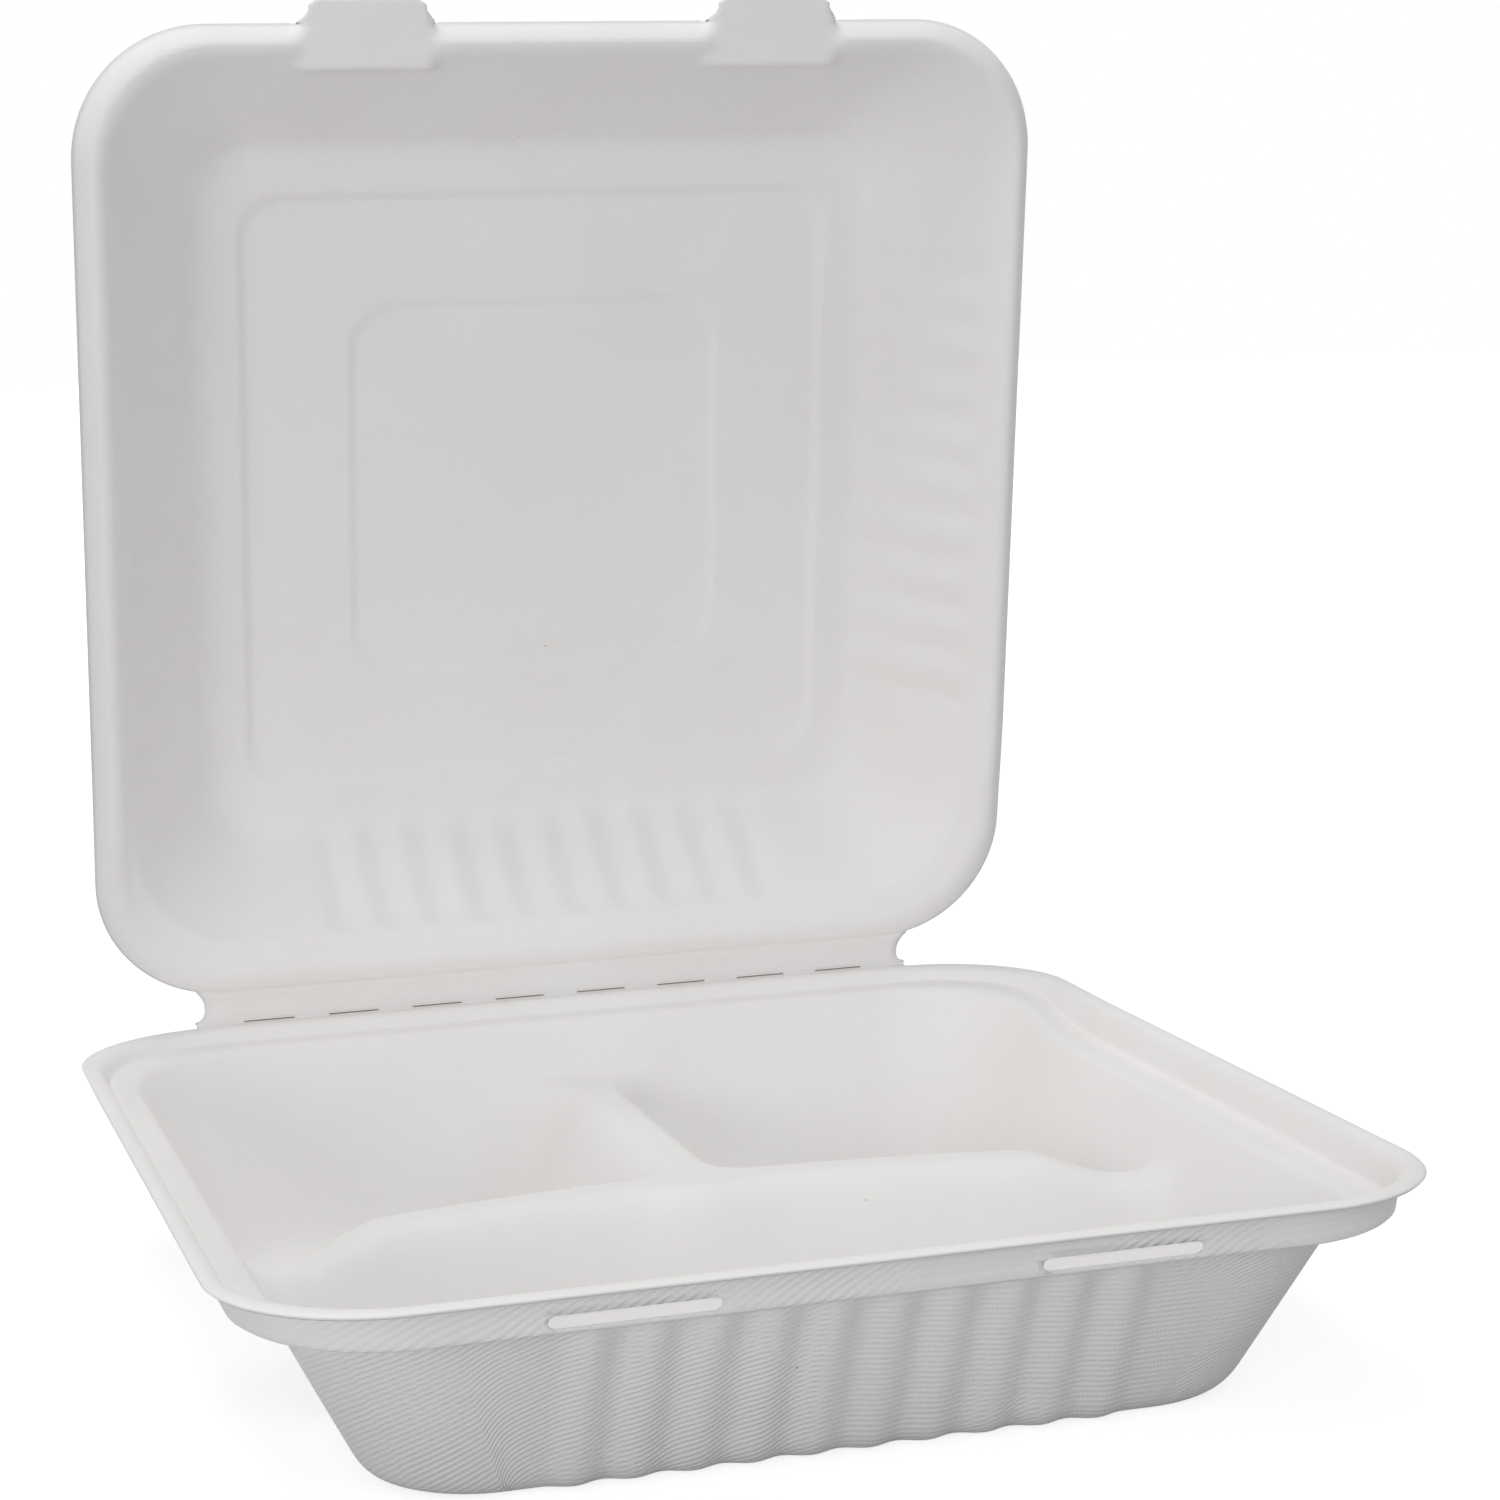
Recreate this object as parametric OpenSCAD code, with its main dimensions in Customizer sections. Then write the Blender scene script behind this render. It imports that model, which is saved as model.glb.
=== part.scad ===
// Three-compartment meal box moulded in one go from sugarcane pulp, shown with its lid up.
// Origin on the table, at the middle of the tray. X to the right, Y to the hinge, Z up.

/* [Tray] */
// Width across the lip
tray_w = 234; // [210:1:260]
// Depth across the lip, from the front to the hinge side
tray_d = 236; // [210:1:260]
// Height of the lip above the table
tray_h = 46.5; // [42:0.5:60]
// Corner radius of the lip
corner_r = 31.6; // [27:0.2:36]
// Thickness of the moulded pulp
pulp_t = 0.8; // [0.6:0.1:1.1]
// Drop from the lip to the ledge that the lid sits on
ledge_drop = 8.2; // [7:0.2:10]
// Drop from the lip to the ledge along the hinge side
hinge_ledge_drop = 3.2; // [2.6:0.2:4.6]
// Distance from the lip edge to the wall, at the hinge-side ledge
wall_inset = 10.6; // [9.6:0.2:12]
// Run of the tray walls for each unit of drop
tray_draft = 0.5; // [0.4:0.02:0.56]
// Radius between the tray walls and its floor
floor_r = 9; // [6:0.5:12]

/* [Dividers] */
// Drop from the lip to the top of the dividers
ridge_drop = 16; // [13:0.5:20]
// Width of the flat top of a divider
ridge_w = 5; // [3:0.5:8]
// Run of a divider flank for each unit of drop
ridge_draft = 0.5; // [0.4:0.02:0.56]
// Distance of the cross divider behind the middle, where the stem meets it
ridge_y = 3; // [-8:1:12]
// How far the cross divider bows forward at the side walls
ridge_bow = 20; // [8:1:26]
// Extra drop of the cross divider beside each side wall
end_dip = 5.5; // [0:0.5:8]
// Half width of the stem where it meets the back wall
fan_half = 17; // [8:0.5:19]
// Distance over which the stem widens to that
fan_run = 16; // [12:1:20]
// Blend between dividers and walls
blend = 5; // [3:0.5:6]
// Fillet where the stem meets the cross divider
junction = 12; // [6:1:14]

/* [Flutes] */
// Number of flutes on a fluted wall
flute_n = 10; // [6:2:12]
// Distance between flutes
flute_pitch = 11.4; // [9:0.2:11.8]
// Depth of a flute
flute_depth = 1.9; // [0.6:0.1:2.2]

/* [Lid] */
// Gap between the lid edge and the tray lip when shut, seen from above
lid_gap = 7.6; // [7:0.2:9]
// Depth of the lid from the fold line to its panel
lid_depth = 25.5; // [20:0.5:32]
// Run of the lid walls for each unit of drop
lid_draft = 0.72; // [0.5:0.02:0.8]
// Radius between the lid walls and its panel
panel_r = 8; // [5:0.5:10]
// Half width of the outer square pressed in the panel
outer_square = 70; // [62:1:72]
// Half width of the inner square pressed in the panel
inner_square = 44.6; // [36:0.5:52]
// Depth of each square
square_step = 1.3; // [0.6:0.1:2]
// Angle between the lid and its shut position
lid_open = 81; // [0:1:170]

/* [Hinge and lock] */
// Half length of the folding strip
strip_half = 85; // [78:0.5:86]
// Number of slits along the fold
slit_n = 8; // [4:2:8]
// Distance between slits
slit_pitch = 20; // [16:0.5:20]
// Length of a slit
slit_l = 12; // [8:0.5:13]
// Width of a slit
slit_w = 0.9; // [0.5:0.1:1.4]
// Distance of each lock slot and tab from the middle
lock_x = 45.8; // [42:0.2:50]
// Length of a lock slot
slot_l = 31.6; // [30:0.2:34]
// Width of a tab at its root
tab_root = 30; // [26:0.5:30]
// Reach of a tab beyond the lid edge
tab_reach = 5.2; // [4.4:0.1:6]

/* [Hidden] */
pulp_colour = [0.93, 0.92, 0.89];
fold_clear = 0.3;
nest_clear = 0.45;
hinge_y = tray_d / 2 + fold_clear + 0.1;
hinge_z = fold_clear;
floor_drop = tray_h - pulp_t;
half_x = tray_w / 2;
half_y = tray_d / 2;
lid_x = half_x - lid_gap;
lid_y = half_y - lid_gap;
corner_keep = 0.35;
lid_keep = 0.5;
lid_r = corner_r - corner_keep * lid_gap;
corner_steps = 6;
lid_mid = hinge_y;
slot_top = 0.64;
slot_foot = 0.96;
tab_fall = 0.4;
lip_in = 3.4;
skirt_in = 5;
flute_span = flute_n * flute_pitch / 2;

// Small helpers
function mix(a, b, t) = a + (b - a) * t;
function clamp(t) = min(1, max(0, t));
function ease(t) = clamp(t) * clamp(t) * (3 - 2 * clamp(t));
function unit(v) = v / norm(v);
function top_of(a, b, k) = let (h = clamp(0.5 + (a - b) / (2 * k))) mix(b, a, h) + k * h * (1 - h);
function backwards(p) = [for (i = [len(p) - 1:-1:0]) -p[i]];

// Drop of the ledge at a place y: full along the front and sides, shallow at the hinge
function drop_at(y) = mix(ledge_drop, hinge_ledge_drop, ease((y / half_y - 0.45) / 0.5));

// Stations round a rounded square, anticlockwise from the middle of the front left corner.
// A station is [side, place, kind]: kind 1 is millimetres along the side, kind 2 a share
// of the corner after it.
function corner(k, a, b) = [for (i = [a:b]) [k, i / corner_steps, 2]];
function straight(k, places) = [for (p = places) [k, p, 1]];
function round_trip(front, right, back, left) = concat(
    corner(3, corner_steps / 2, corner_steps), straight(0, front),
    corner(0, 0, corner_steps), straight(1, right),
    corner(1, 0, corner_steps), straight(2, back),
    corner(2, 0, corner_steps), straight(3, left),
    corner(3, 0, corner_steps / 2 - 1));
function away(k) = [[0, -1], [1, 0], [0, 1], [-1, 0]][k];
function along(k) = [[1, 0], [0, 1], [-1, 0], [0, -1]][k];

// A place along a straight of half length lim, eased so that it never runs into the corner
function held(p, lim) =
    let (s = 0.9 * lim, over = abs(p) - s)
    over <= 0 ? p : sign(p) * (s + (lim - s) * (1 - exp(-over / (lim - s))));

// Plan position of a station on a rounded square of half sizes hx, hy and corner radius r
function plan(st, hx, hy, r) =
    let (k = st[0], hn = k % 2 == 0 ? hy : hx, ht = k % 2 == 0 ? hx : hy)
    st[2] == 2
        ? away(k) * (hn - r) + along(k) * (ht - r)
            + r * (cos(90 * st[1]) * away(k) + sin(90 * st[1]) * along(k))
        : away(k) * hn + along(k) * held(st[1], ht - r - 0.3);
function nudge(st, e) = [st[0], st[1] + (st[2] == 1 ? e : e / 40), st[2]];

// Flutes stand out from a wall: a row of waves, level with the wall at both ends
function wave(s) = abs(s) >= flute_span ? 0 : (1 - cos(360 * (s + flute_span) / flute_pitch)) / 2;
function fluted(st, sides, amp) =
    st[2] == 1 && len(search(st[0], sides)) > 0 ? away(st[0]) * wave(st[1]) * flute_depth * amp : [0, 0];

// Dividers: the cross divider bows forward at its ends. The stem runs back from its middle
// and fans out where it meets the back wall.
wall_turn = 90 - atan(tray_draft);
function wall_at(z) = wall_inset + tray_draft * (-hinge_ledge_drop - z);
function cross_y(x) = ridge_y - ridge_bow * pow(x / (half_x - wall_inset), 2);
function cross_top(x) = -ridge_drop - end_dip * ease((abs(x) / half_x - 0.58) / 0.18);
function stem_half(y) =
    let (t = clamp((y - half_y + wall_at(-ridge_drop)) / fan_run + 1))
    mix(ridge_w / 2, fan_half, t * t);
function flank(over) =
    let (soft = 0.8 * ridge_w)
    (over < 0 ? 0 : over < soft ? over * over / (2 * soft) : over - soft / 2) / ridge_draft;
function dividers(x, y) =
    let (behind = y - cross_y(x),
        from_cross = abs(behind) * 0.96 - ridge_w / 2,
        from_stem = norm([x, min(behind, 0)]) - stem_half(y))
    cross_top(x) - flank(-top_of(-from_cross, -from_stem, junction));
function blend_at(z) =
    let (lower = ease(2 * (-z - ridge_drop) / (floor_drop - ridge_drop)))
    z > -ledge_drop - 1 ? 0.01 : mix(blend, 1.2 * floor_r, lower);
function tray_height(x, y, base) = top_of(base, dividers(x, y), blend_at(base));

// Tray rings: [inset, share of the ledge drop, depth below it, flute share]
function foot(b) =
    let (mid = wall_at(-floor_drop) + floor_r * tan(wall_turn / 2))
    [mid - floor_r * sin(b), -floor_drop + floor_r * (1 - cos(b))];
tray_rings = [
    for (q = [[0, 0.08], [1.4, 0], [lip_in, 0.07], [skirt_in - 0.5, 0.3],
        [skirt_in - 0.2, slot_top], [skirt_in, slot_foot], [skirt_in + 0.8, 1]]) ["skirt", q[0], q[1], 0],
    ["shoulder", -1.2, 0, 0],
    ["shoulder", 0, 1.6, 0],
    ["shoulder", 0, 4.5, 0.9],
    ["wall", foot(wall_turn)[0], foot(wall_turn)[1], 1],
    ["wall", foot(wall_turn * 0.62)[0], foot(wall_turn * 0.62)[1], 1],
    ["wall", foot(wall_turn * 0.3)[0], foot(wall_turn * 0.3)[1], 1],
    ["wall", foot(0)[0], -floor_drop, 0.9]
];
function tray_point(st, ring) =
    let (
        guess = plan(st, half_x, half_y, corner_r),
        drop = drop_at(guess.y),
        skirt = ring[0] == "skirt",
        lift = clamp((ledge_drop - drop) / (ledge_drop - hinge_ledge_drop)),
        shoulder = ring[0] == "shoulder",
        skirt_z = -drop * ring[2] * (ring[1] == 0 ? 1 - lift : 1),
        z = skirt ? skirt_z : shoulder ? -drop - ring[2] : ring[2],
        inset = shoulder ? wall_at(z) + ring[1] : ring[1],
        p = plan(st, half_x - inset, half_y - inset, corner_r - corner_keep * inset)
            + fluted(st, [0], ring[3]))
    [p.x, p.y, skirt ? z : tray_height(p.x, p.y, z)];

// Lid rings: [kind, inset, share of the bead height or depth, flute share]
lid_turn = 90 - atan(lid_draft);
bead_top = ledge_drop + hinge_z - nest_clear;
crease = 0.72;
lid_foot = 8.6;
function lid_wall_at(w) = lid_foot + lid_draft * (bead_top * crease - 1.6 - w);
function lid_bend(b) =
    let (mid = lid_wall_at(-lid_depth) + panel_r * tan(lid_turn / 2))
    [mid - panel_r * sin(b), -lid_depth + panel_r * (1 - cos(b))];
lid_rings = [
    for (q = [[0, 0.3], [1.1, 0.7], [3.2, 0.98], [4.8, 1], [6.2, 0.9], [7.4, crease]])
        ["bead", q[0], q[1], 0],
    ["foot", 0, 1.8, 0],
    ["foot", 0, 4.6, 0.5],
    ["wall", lid_bend(lid_turn)[0], lid_bend(lid_turn)[1], 0.8],
    ["wall", lid_bend(lid_turn / 2)[0], lid_bend(lid_turn / 2)[1], 0.8],
    ["wall", lid_bend(0)[0], -lid_depth, 0.8]
];
tab_w = hinge_z + ledge_drop * (slot_top + slot_foot) / 2 + pulp_t / 2;
function tab_share(st) =
    st[0] == 2 && st[2] == 1 ? clamp((tab_root / 2 + 1 - abs(abs(st[1]) - lock_x)) / 2.6) : 0;
function lid_point(st, ring) =
    let (
        guess = plan(st, lid_x, lid_y, lid_r),
        drop = drop_at(-guess.y),
        bead = drop + hinge_z - nest_clear,
        tab = tab_share(st),
        w = ring[0] == "bead" ? mix(bead * ring[2], tab_w, tab) : ring[0] == "foot"
            ? mix(bead * crease - ring[2], ring[2] < 3 ? tab_w : bead * crease - ring[2], tab) : ring[2],
        inset = ring[0] == "foot"
            ? lid_wall_at(bead * crease - ring[2]) + (ring[2] < 3 ? tab : 0) : ring[1],
        p = plan(st, lid_x - inset, lid_y - inset, lid_r - lid_keep * inset)
            + fluted(st, [0, 1, 3], ring[3]))
    [p.x, p.y + lid_mid, w];

// Stations: few round the rims, more where flutes, dividers or tabs need them
flute_places = [for (i = [0:4 * flute_n]) -flute_span + i * flute_pitch / 4];
stem_places = [for (k = [-8, -5.6, -3.6, -2, -1, 0, 1, 2, 3.6, 5.6, 8]) k * ridge_w / 2];
side_mid = cross_y(half_x - wall_inset - 8);
flank_end = (0.9 * ridge_w + ridge_draft * (floor_drop + 1.2 * floor_r - ridge_drop)) / 0.96;
flank_right = [for (t = [0, 0.15, 0.37, 0.62, 0.86, 1.15]) mix(ridge_w / 2, flank_end, t)];
flank_last = flank_right[len(flank_right) - 1];
flank_places = concat(backwards(flank_right), flank_right);
side_places = concat(
    [min(-0.46 * half_y, side_mid - flank_last - 4)],
    [for (s = flank_places) side_mid + s],
    [for (t = [0.25, 0.6, 1]) mix(side_mid + flank_last, 0.48 * half_y, t)]);
rim_places = [for (t = [-0.25, 0.17, 0.38, 0.51, 0.63]) t * half_y];
slot_places = [-lock_x - slot_l / 2, -lock_x + slot_l / 2, 0, lock_x - slot_l / 2, lock_x + slot_l / 2];
back_places = [for (t = [-0.34, 0, 0.34]) t * half_x];
tray_rim = round_trip(slot_places, rim_places, back_places, backwards(rim_places));
tray_wall = round_trip(flute_places, side_places, stem_places, backwards(side_places));
fold_places = [for (i = [0:slit_n - 1]) for (e = [-1, 1])
    (i - (slit_n - 1) / 2) * slit_pitch + e * slit_l / 2];
tab_right = [tab_root / 4, tab_root / 2 - 1.6, tab_root / 2 + 1];
tab_offsets = concat(backwards(tab_right), [0], tab_right);
tab_places = concat([for (t = tab_offsets) t - lock_x], [0], [for (t = tab_offsets) t + lock_x]);
lid_rim = round_trip(fold_places, backwards(rim_places), tab_places, rim_places);
lid_wall = round_trip(flute_places, flute_places, tab_places, flute_places);
plain_trip = round_trip([], [], [], []);

// Sheet normals, from the neighbours of each place
function tray_normal(st, rings, i) =
    let (e = 0.2, a = max(0, i - 1), b = min(len(rings) - 1, i + 1),
        t = tray_point(nudge(st, e), rings[i]) - tray_point(nudge(st, -e), rings[i]),
        s = tray_point(st, rings[a]) - tray_point(st, rings[b]))
    unit(cross(s, t));
function lid_normal(st, rings, i) =
    let (e = 0.2, a = max(0, i - 1), b = min(len(rings) - 1, i + 1),
        t = lid_point(nudge(st, e), rings[i]) - lid_point(nudge(st, -e), rings[i]),
        s = lid_point(st, rings[a]) - lid_point(st, rings[b]))
    unit(cross(s, t));
function floor_normal(x, y) =
    let (e = 0.3, h = function (a, b) tray_height(a, b, -floor_drop))
    unit([h(x - e, y) - h(x + e, y), h(x, y - e) - h(x, y + e), 2 * e]);

// Faces between two loops of one sheet, each anticlockwise seen from the open side
function band(a, b, n) = [for (i = [0:n - 1]) let (j = (i + 1) % n)
    each [[a + i, a + j, b + j], [a + i, b + j, b + i]]];
function bearing(p, start, mid) = (atan2(p.y - mid, p.x) - atan2(start.y - mid, start.x) + 360) % 360;
function stitch(pts, a, na, b, nb, mid = 0) =
    let (
        pa = [for (i = [0:na]) i == na ? 360 : i == 0 ? 0 : bearing(pts[a + i], pts[a], mid)],
        pb = [for (i = [0:nb]) i == nb ? 360 : i == 0 ? 0 : bearing(pts[b + i], pts[b], mid)],
        pick = function (i, j) j >= nb || (i < na && pa[i + 1] <= pb[j + 1]))
    [for (i = 0, j = 0, f = pick(0, 0), m = 0, n = 0; i < na || j < nb;
        m = f ? i + 1 : i, n = f ? j : j + 1, f = pick(m, n), i = m, j = n)
        f ? [a + i, a + (i + 1) % na, b + j % nb] : [a + i % na, b + (j + 1) % nb, b + j % nb]];

// A sheet of even thickness from its inner skin, the faces of that skin and its open edges.
// An edge is a list of points with the sheet on its left.
module sheet(pts, normals, faces, edges) {
    n = len(pts);
    back = [for (i = [0:n - 1]) pts[i] - normals[i] * pulp_t];
    polyhedron(
        points = concat(pts, back),
        faces = concat(
            [for (f = faces) [for (i = [len(f) - 1:-1:0]) f[i]]],
            [for (f = faces) [for (i = f) i + n]],
            [for (e = edges) for (i = [0:len(e) - 1]) let (a = e[i], b = e[(i + 1) % len(e)])
                each [[a, b, b + n], [a, b + n, a + n]]]),
        convexity = 12);
}

module tray_shell() {
    rims = 8;
    nr = len(tray_rim);
    nw = len(tray_wall);
    rim_pts = [for (i = [0:rims - 1]) for (st = tray_rim) tray_point(st, tray_rings[i])];
    rim_nrm = [for (i = [0:rims - 1]) for (st = tray_rim) tray_normal(st, tray_rings, i)];
    walls = len(tray_rings) - rims;
    wall_pts = [for (i = [rims:len(tray_rings) - 1]) for (st = tray_wall) tray_point(st, tray_rings[i])];
    wall_nrm = [for (i = [rims:len(tray_rings) - 1]) for (st = tray_wall)
        i == len(tray_rings) - 1
            ? let (p = tray_point(st, tray_rings[i])) floor_normal(p.x, p.y)
            : tray_normal(st, tray_rings, i)];
    // Floor net, its rows bowed with the cross divider
    fx = half_x - foot(0)[0] - 7;
    fy = half_y - foot(0)[0] - 7;
    right_cols = [34 / 72.6 * fx, 50 / 72.6 * fx, fx - 15, fx - 7, fx];
    cols = concat(backwards(right_cols), backwards(flank_right), [0], flank_right, right_cols);
    rows = concat([-fy, -fy + 14], flank_places);
    last = [fy - 26, fy - 10, fy];
    function row_y(x, j) = j < 2 ? rows[j] : j < len(rows) ? cross_y(x) + rows[j] : last[j - len(rows)];
    nc = len(cols);
    nj = len(rows) + len(last);
    net = concat(
        [for (i = [0:nc - 1]) [i, 0]],
        [for (j = [1:nj - 1]) [nc - 1, j]],
        [for (i = [nc - 2:-1:0]) [i, nj - 1]],
        [for (j = [nj - 2:-1:1]) [0, j]],
        [for (j = [1:nj - 2]) for (i = [1:nc - 2]) [i, j]]);
    net_xy = [for (c = net) [cols[c[0]], row_y(cols[c[0]], c[1])]];
    net_pts = [for (p = net_xy) [p.x, p.y, tray_height(p.x, p.y, -floor_drop)]];
    net_nrm = [for (p = net_xy) floor_normal(p.x, p.y)];
    loop = 2 * (nc + nj) - 4;
    function cell(i, j) = j == 0 ? i : i == nc - 1 ? nc - 1 + j : j == nj - 1 ? 2 * nc + nj - 3 - i
        : i == 0 ? loop - j : loop + (j - 1) * (nc - 2) + i - 1;
    w0 = rims * nr;
    f0 = w0 + walls * nw;
    pts = concat(rim_pts, wall_pts, net_pts);
    first = 1 + corner_steps / 2;
    slots = [first, first + 3];
    faces = concat(
        [for (i = [0:rims - 2]) each [for (s = [0:nr - 1])
            if (!(i == 4 && len(search(s, slots)) > 0))
                let (a = i * nr, b = a + nr, t = (s + 1) % nr)
                each [[a + s, a + t, b + t], [a + s, b + t, b + s]]]],
        stitch(pts, w0 - nr, nr, w0, nw),
        [for (i = [0:walls - 2]) each band(w0 + i * nw, w0 + (i + 1) * nw, nw)],
        stitch(pts, f0 - nw, nw, f0, loop),
        [for (j = [0:nj - 2]) for (i = [0:nc - 2])
            each [[f0 + cell(i, j), f0 + cell(i + 1, j), f0 + cell(i + 1, j + 1)],
                [f0 + cell(i, j), f0 + cell(i + 1, j + 1), f0 + cell(i, j + 1)]]]);
    edges = concat(
        [[for (s = [0:nr - 1]) s]],
        [for (s = slots) [4 * nr + s, 5 * nr + s, 5 * nr + s + 1, 4 * nr + s + 1]]);
    sheet(pts, concat(rim_nrm, wall_nrm, net_nrm), faces, edges);
}

module tray() {
    color(pulp_colour)
        translate([0, 0, tray_h])
            tray_shell();
}

module lid_shell() {
    rims = 6;
    nr = len(lid_rim);
    nw = len(lid_wall);
    walls = len(lid_rings) - rims;
    rim_pts = [for (i = [0:rims - 1]) for (st = lid_rim) lid_point(st, lid_rings[i])];
    rim_nrm = [for (i = [0:rims - 1]) for (st = lid_rim) lid_normal(st, lid_rings, i)];
    wall_pts = [for (i = [rims:len(lid_rings) - 1]) for (st = lid_wall) lid_point(st, lid_rings[i])];
    wall_nrm = [for (i = [rims:len(lid_rings) - 1]) for (st = lid_wall)
        i == len(lid_rings) - 1 ? [0, 0, 1] : lid_normal(st, lid_rings, i)];
    // Two squares pressed in the panel
    levels = [[outer_square, 0], [outer_square - 1.4, 1], [inner_square, 1], [inner_square - 1.4, 2]];
    squares = [for (q = levels)
        for (st = plain_trip)
            let (p = plan(st, q[0], q[0], q[0] > inner_square + 1 ? 9.5 : 11))
            [p.x, p.y + lid_mid, -lid_depth - square_step * q[1]]];
    np = len(plain_trip);
    w0 = rims * nr;
    s0 = w0 + walls * nw;
    // Folding strip: three rows from the lid edge towards the fold, the last only between slits
    t0 = s0 + 4 * np;
    start = corner_steps / 2 - 1;
    count = len(fold_places) + 4;
    places = concat([-strip_half, -strip_half + 3], fold_places, [strip_half - 3, strip_half]);
    strip = concat(
        [for (x = places) [x, skirt_in + 0.6, 0]],
        [for (x = places) [x, fold_clear + slit_w, 0]],
        [for (x = places) [x, fold_clear, 0]]);
    up = [for (p = strip) [0, 0, 1]];
    function row(r, i) = r == 0 ? start + i : t0 + (r - 1) * count + i;
    // Lock tabs: two rows beyond the lid edge
    u0 = t0 + 3 * count;
    tab_n = len(tab_offsets);
    tab_first = [for (k = [0, 1]) corner_steps / 2 + 1 + len(fold_places) + 2 * (corner_steps + 1)
        + len(rim_places) + k * (tab_n + 1)];
    tabs = [for (k = [0, 1]) for (q = [[0.8, 0.7], [0.72, 1]]) for (t = tab_offsets)
        [-(t * q[0] + (k == 0 ? -lock_x : lock_x)), lid_mid + lid_y + tab_reach * q[1],
            tab_w - (abs(t) > tab_root / 2 ? tab_fall : 0)]];
    tab_up = [for (k = [0, 1]) for (q = [0, 1]) for (t = tab_offsets)
        abs(t) > tab_root / 2 ? unit([-sign(t), 0.3, 1]) : [0, 0, 1]];
    function tab_row(k, r, i) = r == 0 ? tab_first[k] + i : u0 + (2 * k + r - 1) * tab_n + i;
    pts = concat(rim_pts, wall_pts, squares, strip, tabs);
    normals = concat(rim_nrm, wall_nrm, [for (p = squares) [0, 0, 1]], up, tab_up);
    bridge = function (i) i < 2 || i > count - 4 || i % 2 == 1;
    faces = concat(
        [for (i = [0:rims - 2]) each band(i * nr, (i + 1) * nr, nr)],
        stitch(pts, w0 - nr, nr, w0, nw, lid_mid),
        [for (i = [0:walls - 2]) each band(w0 + i * nw, w0 + (i + 1) * nw, nw)],
        stitch(pts, s0 - nw, nw, s0, np, lid_mid),
        [for (i = [0:2]) each band(s0 + i * np, s0 + (i + 1) * np, np)],
        [[for (i = [0:np - 1]) s0 + 3 * np + i]],
        [for (r = [1:3]) for (i = [0:count - 2]) if (r < 3 || bridge(i))
            let (a = row(r, i), b = row(r, i + 1), c = row(r - 1, i + 1), d = row(r - 1, i))
            each [[a, b, c], [a, c, d]]],
        [for (k = [0, 1]) for (r = [1, 2]) for (i = [0:tab_n - 2])
            let (a = tab_row(k, r, i), b = tab_row(k, r, i + 1),
                c = tab_row(k, r - 1, i + 1), d = tab_row(k, r - 1, i))
            each i < tab_n / 2 - 1 ? [[a, b, c], [a, c, d]] : [[a, b, d], [b, c, d]]]);
    fold_edge = [for (i = [0:count - 1]) each
        i == 0 || i == count - 1 ? [row(3, i)]
        : bridge(i - 1) && bridge(i) ? [row(3, i)]
        : bridge(i - 1) ? [row(3, i), row(2, i)] : [row(2, i), row(3, i)]];
    edge = concat(
        [for (s = [0:start - 1]) s],
        [row(0, 0), row(1, 0), row(2, 0)],
        fold_edge,
        [row(2, count - 1), row(1, count - 1), row(0, count - 1)],
        [for (s = [start + count:tab_first[0] - 1]) s],
        each_tab(0),
        [for (s = [tab_first[0] + tab_n:tab_first[1] - 1]) s],
        each_tab(1),
        [for (s = [tab_first[1] + tab_n:nr - 1]) s]);
    function each_tab(k) = concat([tab_row(k, 0, 0), tab_row(k, 1, 0)],
        [for (i = [0:tab_n - 1]) tab_row(k, 2, i)],
        [tab_row(k, 1, tab_n - 1), tab_row(k, 0, tab_n - 1)]);
    sheet(pts, normals, faces, [edge]);
}

module lid() {
    color(pulp_colour)
        translate([0, hinge_y, tray_h + hinge_z])
            rotate([180 - lid_open, 0, 0])
                lid_shell();
}

tray();
lid();
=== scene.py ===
import math
import bmesh
import bpy
import numpy as np
from mathutils import Matrix, Vector


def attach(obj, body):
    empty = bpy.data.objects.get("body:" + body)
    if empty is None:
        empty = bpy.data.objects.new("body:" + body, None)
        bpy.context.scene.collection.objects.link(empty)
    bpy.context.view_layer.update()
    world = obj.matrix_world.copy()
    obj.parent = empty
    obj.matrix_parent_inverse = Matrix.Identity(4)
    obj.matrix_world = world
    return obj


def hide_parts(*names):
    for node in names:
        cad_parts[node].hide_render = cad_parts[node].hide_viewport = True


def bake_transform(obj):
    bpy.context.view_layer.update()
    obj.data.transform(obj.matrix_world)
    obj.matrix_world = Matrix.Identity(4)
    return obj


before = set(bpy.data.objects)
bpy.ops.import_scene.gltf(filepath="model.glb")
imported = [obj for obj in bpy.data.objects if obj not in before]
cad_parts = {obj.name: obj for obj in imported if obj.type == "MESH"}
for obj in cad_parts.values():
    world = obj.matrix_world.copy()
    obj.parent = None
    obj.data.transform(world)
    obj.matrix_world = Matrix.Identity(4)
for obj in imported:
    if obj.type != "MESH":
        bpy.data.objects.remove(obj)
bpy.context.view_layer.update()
millimetre = 0.001
pulpThickness = 0.8
foldAngle = 99  # lid turned up from lying flat open
hingeLine = (0, 118.4, 46.8)
print("frame loaded, lengths below are in millimetres")

# Once round a box: four straights with a quarter corner between them,
# counted from the middle of the front left corner
sideNormals = np.array([[0, -1], [1, 0], [0, 1], [-1, 0]], float)
sideDirections = np.array([[1, 0], [0, 1], [-1, 0], [0, -1]], float)


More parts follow.
